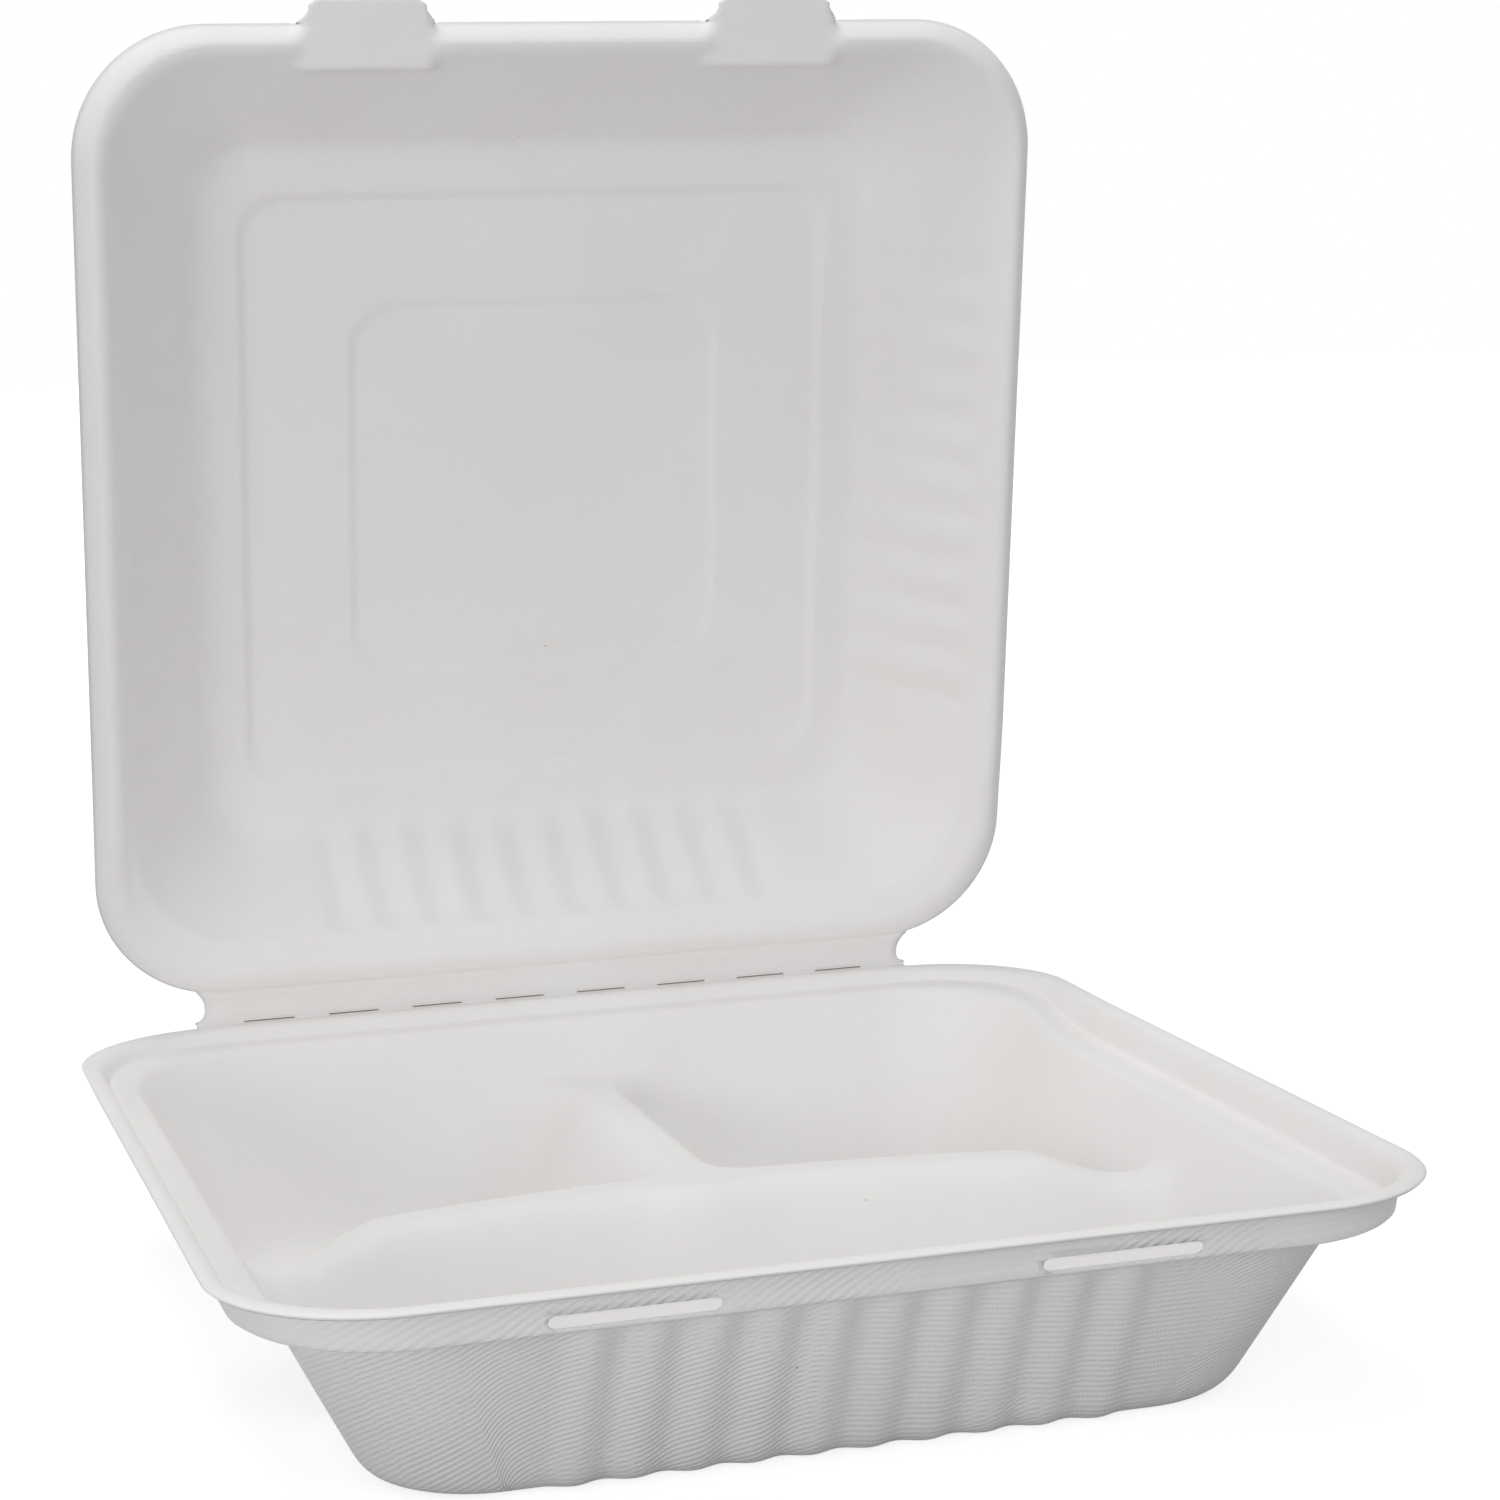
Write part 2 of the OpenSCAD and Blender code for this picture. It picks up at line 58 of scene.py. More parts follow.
def stationsRound(straightCells, cornerCells, reach, snaps=()):
    side, place, onCorner = [], [], []
    half = cornerCells // 2
    for k in range(4):
        straight = reach * ((np.arange(straightCells) + 0.5) / straightCells * 2 - 1)
        for snapSide, mark in snaps:
            if snapSide == k:
                straight[np.abs(straight - mark).argmin()] = mark
        corner = np.arange(cornerCells + 1) / cornerCells
        before, after = corner[half:], corner[:half]
        side += [(k - 1) % 4] * len(before) + [k] * (straightCells + len(after))
        place += list(before) + list(straight) + list(after)
        onCorner += [True] * len(before) + [False] * straightCells + [True] * len(after)
    side = np.array(side)
    return {
        "side": side, "place": np.array(place), "corner": np.array(onCorner), "reach": reach,
        "away": sideNormals[side], "along": sideDirections[side], "count": len(side),
        "perSide": straightCells + cornerCells + 1,
    }


cornerClearance = 0.3
evenShare = 0.985
heldShare = 0.9


def heldOnStraight(place, limit):  # eased so that it never runs into the corner
    start = heldShare * limit
    over = np.abs(place) - start
    eased = start + (limit - start) * (1 - np.exp(-np.maximum(over, 0) / (limit - start)))
    return np.where(over <= 0, place, np.sign(place) * eased)


def planOf(stations, halfX, halfY, radius, spread):
    even = stations["side"] % 2 == 0
    out = np.where(even, halfY, halfX)
    across = np.where(even, halfX, halfY)
    away, along = stations["away"], stations["along"]
    angle = np.pi / 2 * stations["place"]
    turned = (np.cos(angle)[:, None] * away + np.sin(angle)[:, None] * along)
    corner = (out - radius)[..., None] * away + (across - radius)[..., None] * along
    corner = corner + radius[..., None] * turned
    limit = across - radius - cornerClearance
    held = heldOnStraight(stations["place"], limit)
    even = stations["place"] * limit / stations["reach"] * evenShare
    reached = held + (even - held) * spread
    straight = out[..., None] * away + reached[..., None] * along
    return np.where(stations["corner"][:, None], corner, straight), reached


def ease(t):
    t = np.clip(t, 0, 1)
    return t * t * (3 - 2 * t)


def softMax(a, b, k):
    h = np.clip(0.5 + (a - b) / (2 * k), 0, 1)
    return b + (a - b) * h + k * h * (1 - h)


# A profile is a list of corners (values, rounding, steps in the rounding, rows in the
# straight after it). The values are inset, height, radius and spread, one for each station.
def roundedRows(corners):
    rows = []
    for i, (point, rounding, steps, after) in enumerate(corners):
        if np.all(rounding == 0):
            leave = point
            rows.append(point)
        else:
            previous, following = corners[i - 1][0], corners[i + 1][0]
            toPrevious = np.hypot(*(previous - point)[:2]) + 1e-6
            toNext = np.hypot(*(following - point)[:2]) + 1e-6
            arrive = point + (previous - point) * np.minimum(0.48, rounding / toPrevious)
            leave = point + (following - point) * np.minimum(0.48, rounding / toNext)
            for t in np.linspace(0, 1, steps + 1):
                rows.append((1 - t) ** 2 * arrive + 2 * t * (1 - t) * point + t * t * leave)
        if after:
            nextPoint, nextRounding = corners[i + 1][0], corners[i + 1][1]
            length = np.hypot(*(nextPoint - point)[:2]) + 1e-6
            reach = nextPoint + (point - nextPoint) * np.minimum(0.48, nextRounding / length)
            for t in np.arange(1, after + 1) / (after + 1):
                rows.append(leave + (reach - leave) * t)
    return np.stack(rows)


# Draws the open sheet: a start face or grid in the middle, then one extruded loop for each row
def drawSheet(stations, rows, middlePoints, gridMiddle):
    bm = bmesh.new()
    rowLayer = bm.verts.layers.int.new("row")
    stationLayer = bm.verts.layers.int.new("station")
    last = len(rows) - 1
    count, side = stations["count"], stations["perSide"]
    if gridMiddle:
        bmesh.ops.create_grid(bm, x_segments=side, y_segments=side, size=1)
        for vert in bm.verts:
            i, j = round((vert.co.x + 1) / 2 * side), round((vert.co.y + 1) / 2 * side)
            if vert.is_boundary:
                if j == 0:
                    index = i
                elif i == side:
                    index = side + j
                elif j == side:
                    index = 3 * side - i
                else:
                    index = 4 * side - j
                vert[rowLayer], vert[stationLayer] = last, index % count
            else:
                vert[rowLayer] = -1
                vert.co = middlePoints[i, j]
    else:
        bmesh.ops.create_circle(bm, cap_ends=True, radius=1, segments=count)
        bm.verts.ensure_lookup_table()
        for vert in bm.verts:
            turn = math.degrees(math.atan2(vert.co.y, vert.co.x)) + 135
            vert[rowLayer], vert[stationLayer] = last, round(turn % 360 / 360 * count) % count
    rim = [edge for edge in bm.edges if edge.is_boundary]
    for row in range(last - 1, -1, -1):
        grown = bmesh.ops.extrude_edge_only(bm, edges=rim)["geom"]
        rim = [item for item in grown if isinstance(item, bmesh.types.BMEdge)]
        for item in grown:
            if isinstance(item, bmesh.types.BMVert):
                item[rowLayer] = row
    for vert in bm.verts:
        if vert[rowLayer] >= 0:
            vert.co = rows[vert[rowLayer], vert[stationLayer]]
    return bm, rowLayer, stationLayer, rim


imprintLook = {"wirePitch": 1.3, "wireStep": 0.8, "inside": 0.16, "outside": 1.1}


# Lays a millimetre grid along the sheet for the wire imprint
def layImprint(bm, rowLayer, stationLayer, rows):
    middle = rows[len(rows) // 2]
    stepsRound = np.linalg.norm(np.roll(middle, -1, axis=0) - middle, axis=1)
    around = np.concatenate([[0], np.cumsum(stepsRound)])
    pitch = imprintLook["wirePitch"]
    around *= round(around[-1] / pitch) * pitch / around[-1]  # whole wires where the loop closes
    stepsDown = np.linalg.norm(np.diff(rows, axis=0), axis=2).mean(axis=1)
    down = np.concatenate([[0], np.cumsum(stepsDown)])
    uv = bm.loops.layers.uv.new("imprint")
    count = len(around) - 1
    for face in bm.faces:
        onWall = all(vert[rowLayer] >= 0 for vert in face.verts) and len(face.verts) == 4
        wraps = onWall and {0, count - 1} <= {vert[stationLayer] for vert in face.verts}
        for loop in face.loops:
            vert = loop.vert
            if onWall:
                u = around[-1] if wraps and vert[stationLayer] == 0 else around[vert[stationLayer]]
                loop[uv].uv = (u, down[vert[rowLayer]])
            else:
                loop[uv].uv = (vert.co.x, vert.co.y)


def finishSheet(name, bm, materials, body, node):
    bmesh.ops.scale(bm, vec=(millimetre,) * 3, verts=bm.verts)
    mesh = bpy.data.meshes.new(name)
    bm.to_mesh(mesh)
    bm.free()
    mesh.shade_smooth()
    for material in materials:
        mesh.materials.append(material)
    piece = bpy.data.objects.new(name, mesh)
    bpy.context.scene.collection.objects.link(piece)
    wall = piece.modifiers.new("pulp", "SOLIDIFY")
    wall.thickness = pulpThickness * millimetre
    wall.offset = -1
    wall.use_even_offset = True
    wall.material_offset = 1
    wall.material_offset_rim = 1
    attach(piece, body)
    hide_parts(node)
    print(name, "drawn with", len(mesh.polygons), "faces in its skin")
    return piece


# Material helper: a socket that takes part in arithmetic
class Flow:
    def __init__(self, tree, socket):
        self.tree, self.socket = tree, socket

    def math(self, operation, other=None, swapped=False):
        values = [self] if other is None else [other, self] if swapped else [self, other]
        return node(self.tree, "ShaderNodeMath", {"operation": operation}, dict(enumerate(values)))

    def __add__(self, other):
        return self.math("ADD", other)

    def __mul__(self, other):
        return self.math("MULTIPLY", other)

    def __sub__(self, other):
        return self.math("SUBTRACT", other)

    def __rsub__(self, other):
        return self.math("SUBTRACT", other, True)

    __radd__ = __add__


def node(tree, kind, settings=None, values=None, output=0):
    made = tree.nodes.new(kind)
    for name, value in (settings or {}).items():
        if name == "stops":
            ramp = made.color_ramp.elements
            for stop, (place, colour) in zip(ramp, value):
                stop.position, stop.color = place, (*colour, 1)
        else:
            setattr(made, name, value)
    for name, value in (values or {}).items():
        if isinstance(value, Flow):
            tree.links.new(value.socket, made.inputs[name])
        else:
            made.inputs[name].default_value = value
    return Flow(tree, made.outputs[output])


pulpLook = {
    "warm": (0.865, 0.85, 0.84), "pale": (0.895, 0.885, 0.88),
    "cool": (0.845, 0.845, 0.855), "coolPale": (0.88, 0.88, 0.89),
    # painted shade: these dark colours stand in for the shadow inside the slits' gaps
    "shade": (0.16, 0.14, 0.12), "shadePale": (0.24, 0.21, 0.18),
    "insideRoughness": 0.62, "outsideRoughness": 0.78, "slitRoughness": 0.9, "specular": 0.35,
    "speck": (0.25, 0.17, 0.1, 1), "speckSize": 0.017, "speckRarity": 0.55, "speckStrength": 0.7,
    "bumpStrength": 0.8, "bumpDistance": 0.0001,
}


def pulpMaterial(name, low, high, imprint, roughness):
    material = bpy.data.materials.new(name)
    material.use_nodes = True
    tree = material.node_tree
    shader = tree.nodes["Principled BSDF"]
    place = node(tree, "ShaderNodeTexCoord", output="Object")
    lay = node(tree, "ShaderNodeUVMap", {"uv_map": "imprint"})
    across = node(tree, "ShaderNodeSeparateXYZ", {}, {0: lay}, "X")
    down = node(tree, "ShaderNodeSeparateXYZ", {}, {0: lay}, "Y")
    rowTurn = 2 * math.pi / imprintLook["wirePitch"]
    stepTurn = 2 * math.pi / imprintLook["wireStep"]
    beads = (across * stepTurn + down * rowTurn * 0.5).math("SINE") * 0.4 + 0.6
    wires = (down * rowTurn).math("SINE") * beads
    twill = (down * rowTurn + across * stepTurn * 0.3).math("SINE") * 0.7

    def noise(scale, detail, rough):
        values = {"Vector": place, "Scale": scale, "Detail": detail, "Roughness": rough}
        return node(tree, "ShaderNodeTexNoise", {}, values)

    cloud = noise(28, 3, 0.5)
    grain = noise(1400, 4, 0.6)
    patches = noise(90, 3, 0.55)
    regions = {"Value": noise(24, 1, 0.5), "From Min": 0.42, "From Max": 0.58}
    share = node(tree, "ShaderNodeMapRange", {}, regions)
    weave = wires * share + twill * (1 - share)
    mottle = cloud * 0.7 + grain * 0.3
    colour = node(tree, "ShaderNodeValToRGB", {"stops": [(0.3, low), (0.7, high)]}, {0: mottle})
    # stray husk specks
    specks = node(tree, "ShaderNodeTexVoronoi", {"feature": "F1"}, {"Vector": place, "Scale": 60})
    rare = node(tree, "ShaderNodeTexNoise", {}, {"Vector": place, "Scale": 33, "Detail": 0})
    small = specks.math("LESS_THAN", pulpLook["speckSize"])
    speck = small * rare.math("GREATER_THAN", pulpLook["speckRarity"]) * pulpLook["speckStrength"]
    mixed = {0: speck, 6: colour, 7: pulpLook["speck"]}
    speckled = node(tree, "ShaderNodeMix", {"data_type": "RGBA"}, mixed, 2)
    tree.links.new(speckled.socket, shader.inputs["Base Color"])
    tree.links.new((roughness + (grain - 0.5) * 0.25).socket, shader.inputs["Roughness"])
    relief = weave * (patches * 0.8 + 0.6) * imprint + grain * 0.7 + patches * 1.5
    bump = node(tree, "ShaderNodeBump", {}, {
        "Strength": pulpLook["bumpStrength"], "Distance": pulpLook["bumpDistance"],
        "Height": relief,
    })
    tree.links.new(bump.socket, shader.inputs["Normal"])
    shader.inputs["Specular IOR Level"].default_value = pulpLook["specular"]
    return material


insidePulp = pulpMaterial(
    "pulpInside", pulpLook["warm"], pulpLook["pale"],
    imprintLook["inside"], pulpLook["insideRoughness"])
outsidePulp = pulpMaterial(
    "pulpOutside", pulpLook["cool"], pulpLook["coolPale"],
    imprintLook["outside"], pulpLook["outsideRoughness"])
# painted shade for the slits, laid on the groove's floor in the fold
slitShadePulp = pulpMaterial(
    "pulpSlitShade", pulpLook["shade"], pulpLook["shadePale"], 0, pulpLook["slitRoughness"])
print("pulp materials made")

tray = {
    "halfX": 117, "halfY": 118, "height": 46.5, "radius": 31.6, "radiusKept": 0.35,
    "ledgeDrop": 8.2, "hingeLedgeDrop": 3.2, "wallInset": 10.6, "draft": 0.5, "floorRadius": 9,
    "ridgeDrop": 16, "ridgeWidth": 5, "ridgeY": 3, "ridgeBow": 20, "endDip": 5.5,
    "blend": 5, "ridgeRounding": 6,
    "fanHalf": 17, "fanRun": 16, "junction": 12,
    "fluteCount": 10, "flutePitch": 11.4, "fluteDepth": 1.9, "fluteStart": 1.4, "fluteFade": 3.6,
    "slotMiddle": 45.8, "slotLength": 31.6, "slotTop": 0.64, "slotFoot": 0.96, "slotRound": 1.25,
    "stationReach": 84.5, "straightCells": 119, "cornerCells": 20,
}
floorDrop = tray["height"] - pulpThickness


def ledgeDropAt(y):
    towardsHinge = ease((y / tray["halfY"] - 0.45) / 0.5)
    return tray["ledgeDrop"] + (tray["hingeLedgeDrop"] - tray["ledgeDrop"]) * towardsHinge


def fluteWave(place):
    span = tray["fluteCount"] * tray["flutePitch"] / 2
    wave = (1 - np.cos(2 * np.pi * (place + span) / tray["flutePitch"])) / 2
    return np.where(np.abs(place) >= span, 0, wave)


def ridgeLine(x):
    return tray["ridgeY"] - tray["ridgeBow"] * (x / (tray["halfX"] - tray["wallInset"])) ** 2


def wallAt(z):
    return tray["wallInset"] + tray["draft"] * (-tray["hingeLedgeDrop"] - z)


# The cross divider bows forward at its ends, the stem runs back and fans out at the back wall
def trayHeight(x, y, base):
    half = tray["ridgeWidth"] / 2
    top = -tray["ridgeDrop"] - tray["endDip"] * ease((np.abs(x) / tray["halfX"] - 0.58) / 0.18)
    behind = y - ridgeLine(x)
    fan = np.clip((y - tray["halfY"] + wallAt(-tray["ridgeDrop"])) / tray["fanRun"] + 1, 0, 1) ** 2
    fromStem = np.hypot(x, np.minimum(behind, 0)) - half - (tray["fanHalf"] - half) * fan
    outside = -softMax(half - np.abs(behind) * 0.96, -fromStem, tray["junction"])
    over, soft = np.maximum(0, outside), tray["ridgeRounding"]
    ridges = top - np.where(over < soft, over ** 2 / (2 * soft), over - soft / 2) / tray["draft"]
    lower = ease(2 * (-base - tray["ridgeDrop"]) / (floorDrop - tray["ridgeDrop"]))
    blend = tray["blend"] + (1.2 * tray["floorRadius"] - tray["blend"]) * lower
    return softMax(base, ridges, np.where(base > -tray["ledgeDrop"] - 1, 0.01, blend))


def drawTray():
    middle, halfSlot = tray["slotMiddle"], tray["slotLength"] / 2
    slotEnds = [middle * side + halfSlot * end for side in (-1, 1) for end in (-1, 1)]
    stations = stationsRound(tray["straightCells"], tray["cornerCells"], tray["stationReach"],
                             [(0, end) for end in slotEnds])
    rim = np.full(stations["count"], 0.0)
    guess, _ = planOf(
        stations, rim + tray["halfX"], rim + tray["halfY"], rim + tray["radius"], rim)
    drop = ledgeDropAt(guess[:, 1])
    lift = np.clip((tray["ledgeDrop"] - drop) / (tray["ledgeDrop"] - tray["hingeLedgeDrop"]), 0, 1)

    def at(inset, z):
        return np.stack([rim + inset, rim + z])

    turn = math.radians(90) - math.atan(tray["draft"])
    foot = tray["floorRadius"] * math.tan(turn / 2)
    # the step is crisp at the front, where the slots are
    soft = ease((guess[:, 1] + tray["halfY"]) / 25)
    edgeFall = 0.09 * drop * (1 - lift) + 0.3
    corners = [
        (at(0, -edgeFall), 0, 0, 0),
        (at(0.4, -edgeFall * 0.5), 0.3, 2, 0),
        (at(1.9, 0), 1.2, 4, 0),
        (at(3.5, -0.06 * drop), 1.4, 3, 0),
        (at(4.5, -0.3 * drop), 1.2, 3, 0),
        (at(4.85 + 0.1 * soft, -tray["slotTop"] * drop), 0, 0, 4),
        (at(5.0 + 0.4 * soft, -(tray["slotFoot"] - 0.05 * soft) * drop), 0, 0, 0),
        (at(5.2 + 1.1 * soft, -drop), 0.3 + 1.2 * soft, 2, 0),
        (at(wallAt(-drop), -drop), 1.7, 5, 14),
        (at(wallAt(-floorDrop), -floorDrop), foot, 8, 0),
        (at(wallAt(-floorDrop) + foot + 0.6, -floorDrop), 0, 0, 0),
    ]
    profile = roundedRows(corners)
    inset, z = profile[:, 0], profile[:, 1]
    spread = np.where(stations["side"] % 2 == 0, 0, 1) * ease((inset - 6) / 10)
    radius = tray["radius"] - tray["radiusKept"] * inset
    xy, reached = planOf(stations, tray["halfX"] - inset, tray["halfY"] - inset, radius, spread)
    fluted = (stations["side"] == 0) & ~stations["corner"]
    amount = ease((-drop - tray["fluteStart"] - z) / tray["fluteFade"]) * fluted
    xy = xy + (fluteWave(reached) * amount * tray["fluteDepth"])[..., None] * stations["away"]
    height = np.where(inset > 6, trayHeight(xy[..., 0], xy[..., 1], z), z)
    rows = np.concatenate([xy, height[..., None]], axis=2)
    slotStart = next(k for k in range(len(z)) if np.allclose(z[k], -tray["slotTop"] * drop))
    # the slots' ends are rounded by the rows that cross them
    slotRows = range(slotStart, slotStart + 6)
    for row in slotRows:
        off = (row - slotStart - 2.5) / 2.5
        for mark in slotEnds:
            near = np.where(fluted & (stations["place"] == mark))[0][0]
            outward = np.sign(mark) * (1 if abs(mark) > tray["slotMiddle"] else -1)
            rounded = 1 - math.sqrt(max(0, 1 - off ** 2))
            rows[row, near, 0] = mark - outward * tray["slotRound"] * rounded
    # floor net between the four sides of the last row
    side = stations["perSide"]
    edge = xy[-1]
    i = np.arange(side + 1)
    front, back = edge[i], edge[3 * side - i]
    left, right = edge[(4 * side - i) % (4 * side)], edge[side + i]
    u, v = (i / side)[:, None, None], (i / side)[None, :, None]
    net = (1 - v) * front[:, None] + v * back[:, None] + (1 - u) * left[None] + u * right[None]
    net -= ((1 - u) * (1 - v) * edge[0] + u * (1 - v) * edge[side]
            + u * v * edge[2 * side] + (1 - u) * v * edge[3 * side])
    floorHeight = trayHeight(net[..., 0], net[..., 1], -floorDrop)
    floor = np.concatenate([net, floorHeight[..., None]], axis=2)
    bm, rowLayer, stationLayer, _ = drawSheet(stations, rows, floor, True)
    layImprint(bm, rowLayer, stationLayer, rows)
    cut = []
    for face in bm.faces:
        if all(vert[rowLayer] in slotRows for vert in face.verts):
            centre = face.calc_center_median()
            if centre.y < 0 and abs(abs(centre.x) - middle) < halfSlot:
                cut.append(face)
    bmesh.ops.delete(bm, geom=cut, context="FACES")
    bmesh.ops.translate(bm, vec=(0, 0, tray["height"]), verts=bm.verts)
    bmesh.ops.recalc_face_normals(bm, faces=bm.faces)
    bm.faces.ensure_lookup_table()
    lowest = min(bm.faces, key=lambda face: face.calc_center_median().length)
    if lowest.normal.z < 0:
        bmesh.ops.reverse_faces(bm, faces=bm.faces)
    return finishSheet("mouldedTray", bm, [insidePulp, outsidePulp], "tray", "tray")


drawTray()

lid = {
    "gap": 7.6, "depth": 25.5, "draft": 0.72, "panelRadius": 8, "radiusKept": 0.5,
    "outerSquare": 70, "innerSquare": 44.6, "squareStep": 1.3, "squareRun": 2.0,
    "beadShare": 0.72, "foot": 8.6, "creaseFall": 1.6, "outerStep": 1.2, "innerStep": 2,
    "fluteDepth": 1.3, "fluteFade": 5, "flutePanelFade": 4, "fluteFromRim": 8,
    "stationReach": 79, "straightCells": 119, "cornerCells": 20,
    "tabMiddle": 45.8, "tabRoot": 30, "tabReach": 5.2, "tabLevel": 7.3, "tabSoftness": 1.8,
    "stripHalf": 85, "stripFlare": 2.4, "foldGap": 0.3,
    "slitCount": 8, "slitPitch": 20, "slitLength": 12, "slitWidth": 0.2,
}
lid["halfX"], lid["halfY"] = tray["halfX"] - lid["gap"], tray["halfY"] - lid["gap"]
lid["radius"] = tray["radius"] - tray["radiusKept"] * lid["gap"]


def drawLid():
    stations = stationsRound(lid["straightCells"], lid["cornerCells"], lid["stationReach"])
    rim = np.full(stations["count"], 0.0)
    guess, reachedRim = planOf(
        stations, rim + lid["halfX"], rim + lid["halfY"], rim + lid["radius"], rim)
    bead = ledgeDropAt(-guess[:, 1])
    onTabSide = (stations["side"] == 2) & ~stations["corner"]
    fromTab = np.abs(np.abs(reachedRim) - lid["tabMiddle"])
    softness = lid["tabSoftness"]
    tab = ease((lid["tabRoot"] / 2 + softness - fromTab) / (2 * softness)) * onTabSide
    level = lid["tabLevel"]

    def wallAt(w):
        top = tray["ledgeDrop"] * lid["beadShare"] - lid["creaseFall"]
        return lid["foot"] + lid["draft"] * (top - w)

    def at(inset, w, flat=0, spread=0, radius=None):
        kept = lid["radius"] - lid["radiusKept"] * inset if radius is None else radius
        return np.stack([rim + inset, rim + w, rim + kept, rim + spread])

    def rimAt(inset, share):
        return at(inset, bead * share * (1 - tab) + level * tab)

    def squareAt(half, step, radius):
        return at(lid["halfX"] - half, -lid["depth"] - step * lid["squareStep"], 0, 1, radius)

    crease = bead * lid["beadShare"]
    wallTop = crease - lid["creaseFall"]
    turn = math.radians(90) - math.atan(lid["draft"])
    bend = lid["panelRadius"] * math.tan(turn / 2)
    outer, inner, run = lid["outerSquare"], lid["innerSquare"], lid["squareRun"]
    corners = [
        (rimAt(0, 0.3), 0, 0, 0),
        (rimAt(1.1, 0.7), 1.0, 3, 0),
        (rimAt(3.2, 0.98), 1.5, 3, 0),
        (rimAt(4.8, 1), 1.0, 3, 0),
        (rimAt(6.2, 0.9), 1.0, 3, 0),
        (rimAt(7.4, lid["beadShare"]), 0.8, 2, 0),
        (at(wallAt(wallTop) + tab, wallTop * (1 - tab) + level * tab), 1.0, 3, 2),
        (at(wallAt(crease - 4.6), crease - 4.6), 0.8, 3, 10),
        (at(wallAt(-lid["depth"]), -lid["depth"]), bend, 7, 3),
        (squareAt(outer, 0, 9.5), 0.9, 3, 0),
        (squareAt(outer - run, lid["outerStep"], 9.5), 0.9, 3, 5),
        (squareAt(inner, lid["outerStep"], 11), 0.7, 3, 0),
        (squareAt(inner - run, lid["innerStep"], 11), 0.7, 3, 0),
        (squareAt(inner - run - 1.5, lid["innerStep"], 10), 0, 0, 0),
    ]
    profile = roundedRows(corners)
    inset, w, radius, spread = profile[:, 0], profile[:, 1], profile[:, 2], profile[:, 3]
    # the squares are as deep as they are wide, so the longer side gives way towards them
    shrink = (tray["halfY"] - tray["halfX"]) * ease(spread)
    xy, reached = planOf(
        stations, lid["halfX"] - inset, lid["halfY"] - inset - shrink, radius, spread)
    fluted = (stations["side"] != 2) & ~stations["corner"]
    # the flutes fade in below the crease, fade out before the outer square and leave the rim alone
    amount = ease((wallTop - w) / lid["fluteFade"])
    amount = amount * ease((lid["halfX"] - outer - 0.4 - inset) / lid["flutePanelFade"])
    amount = amount * fluted * (inset > lid["fluteFromRim"])
    xy = xy + (fluteWave(reached) * amount * lid["fluteDepth"])[..., None] * stations["away"]
    rows = np.concatenate([xy, w[..., None]], axis=2)
    bm, rowLayer, stationLayer, lip = drawSheet(stations, rows, None, False)
    # lock tabs grow from the rim
    for k in (-1, 1):
        def inTab(vert):
            off = abs(vert.co.x - k * lid["tabMiddle"])
            return vert.co.y > 0 and off < lid["tabRoot"] / 2 + 0.8
        edges = [edge for edge in lip if all(inTab(vert) for vert in edge.verts)]
        for share in (0.12, 0.35, 0.6, 0.8, 0.92, 0.98, 1.0):
            grown = bmesh.ops.extrude_edge_only(bm, edges=edges)["geom"]
            edges = [item for item in grown if isinstance(item, bmesh.types.BMEdge)]
            for vert in [item for item in grown if isinstance(item, bmesh.types.BMVert)]:
                root = rows[0, vert[stationLayer]]
                off = root[0] - k * lid["tabMiddle"]
                taper = 1 - 0.16 * ease(share / 0.6) - 0.1 * max(0, share - 0.8) / 0.2
                vert.co = (k * lid["tabMiddle"] + off * taper, root[1] + lid["tabReach"] * share,
                           root[2] + (lid["tabLevel"] - root[2]) * min(1, share / 0.35))
                vert[rowLayer] = -2
    # folding strip towards the fold line
    stripRow = -10
    def inStrip(vert):
        return vert.co.y < 0 and abs(vert.co.x) < lid["stripHalf"] + lid["stripFlare"] + 0.3
    edges = [edge for edge in lip if all(inStrip(vert) for vert in edge.verts)]
    widest = max(vert.co.x for edge in edges for vert in edge.verts)
    start = -lid["halfY"]
    end = -hingeLine[1] + lid["foldGap"]
    slitStart = 1 - lid["slitWidth"] / (start - end)
    shares = (0.06, 0.14, 0.24, 0.36, 0.5, 0.64, 0.76, 0.86, 0.93, slitStart, 1.0)
    for n, share in enumerate(shares):
        grown = bmesh.ops.extrude_edge_only(bm, edges=edges)["geom"]
        edges = [item for item in grown if isinstance(item, bmesh.types.BMEdge)]
        for vert in [item for item in grown if isinstance(item, bmesh.types.BMVert)]:
            root = rows[0, vert[stationLayer]]
            flare = ((0.6 - share) / 0.6) ** 2 if share < 0.6 else ((share - 0.6) / 0.4) ** 4
            x = root[0] / widest * (lid["stripHalf"] + lid["stripFlare"] * flare)
            flattened = 1 - ease(np.array(share / 0.5))
            vert.co = (x, root[1] + (end - root[1]) * share, root[2] * flattened)
            vert[rowLayer] = stripRow - n
    cut = []
    slitShare = lid["slitLength"] / lid["slitPitch"]
    lastRow = stripRow - len(shares) + 1
    for face in bm.faces:
        if {vert[rowLayer] for vert in face.verts} == {lastRow, lastRow + 1}:
            place = face.calc_center_median().x / lid["slitPitch"] + lid["slitCount"] / 2
            if 0 <= place < lid["slitCount"] and abs(place % 1 - 0.5) < slitShare / 2:
                cut.append(face)
    bmesh.ops.delete(bm, geom=cut, context="FACES")
    layImprint(bm, rowLayer, stationLayer, rows)
    bmesh.ops.recalc_face_normals(bm, faces=bm.faces)
    panel = max(bm.faces, key=lambda face: len(face.verts))
    if panel.normal.z < 0:
        bmesh.ops.reverse_faces(bm, faces=bm.faces)
    bmesh.ops.translate(bm, vec=(0, hingeLine[1], 0), verts=bm.verts)
    turned = Matrix.Rotation(math.radians(foldAngle), 3, "X")
    bmesh.ops.rotate(bm, cent=(0, 0, 0), matrix=turned, verts=bm.verts)
